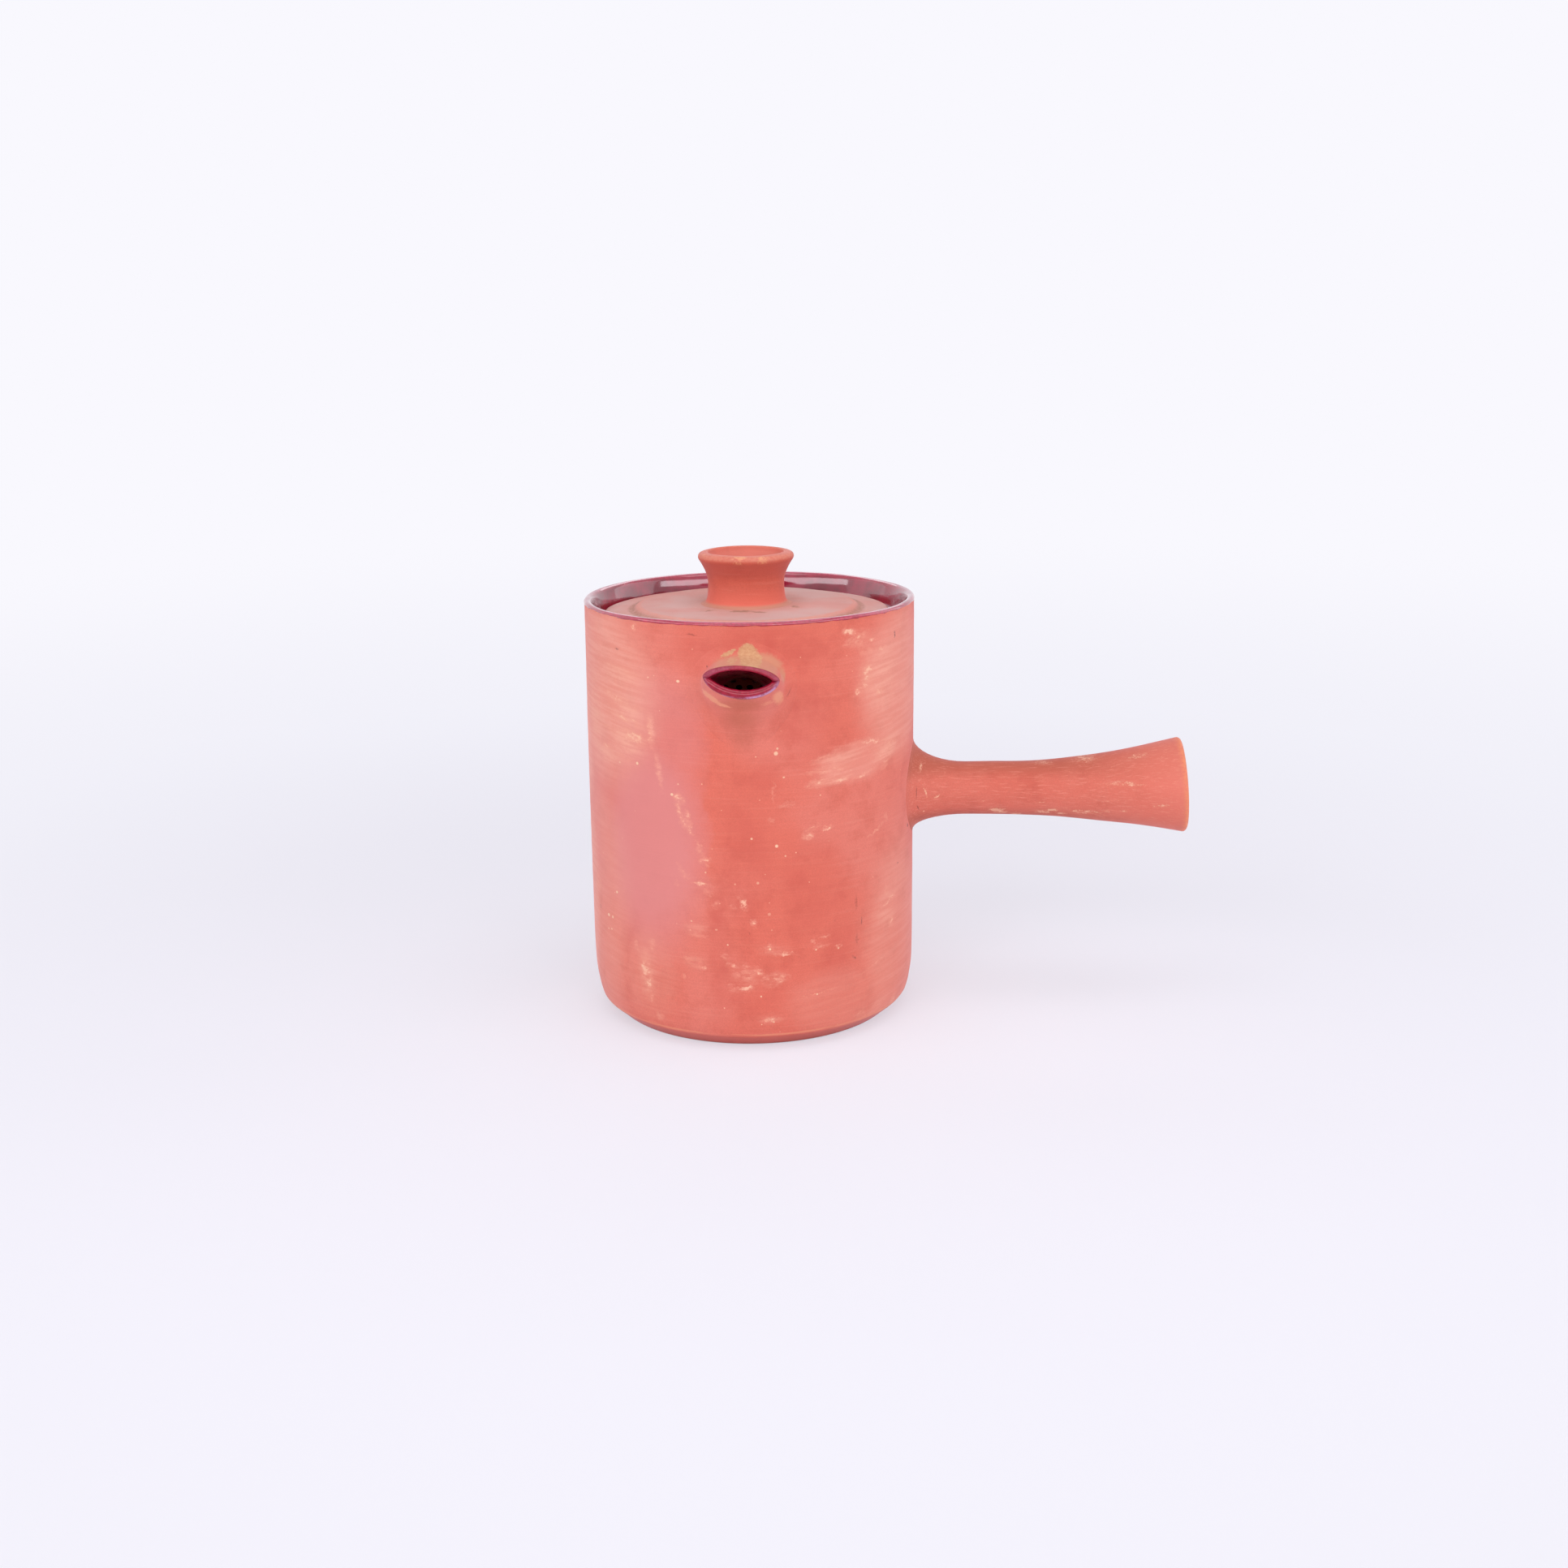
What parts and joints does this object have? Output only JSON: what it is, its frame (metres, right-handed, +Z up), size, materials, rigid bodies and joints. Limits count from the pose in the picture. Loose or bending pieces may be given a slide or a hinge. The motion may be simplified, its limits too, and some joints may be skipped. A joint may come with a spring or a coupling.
{
  "type": "teapot",
  "caption": "Tall side-handled terracotta teapot with a pinched spout, a plum glaze lining and a sunk lift-off lid with a hollow knob.",
  "frame": {"origin": "centre of the flat underside of the pot", "axes": "+Z up along the pot's axis, +X along the side handle, -Y along the spout"},
  "size_m": [0.2175, 0.1332, 0.1676],
  "materials": {
    "terracotta": "matte",
    "plum_glaze": "gloss"
  },
  "bodies": {
    "pot": {"pot_body": "terracotta", "rim_glaze": "plum_glaze", "interior_glaze": "plum_glaze", "spout": "terracotta", "spout_glaze": "plum_glaze", "strainer": "terracotta", "side_handle": "terracotta"},
    "cover": {"lid": "terracotta", "lid_knob": "terracotta"}
  },
  "joints": [
    {"name": "lid_lift", "type": "slide", "parent": "pot", "child": "cover", "axis": [0, 0, 1], "range_m": [0, 0.08]}
  ]
}
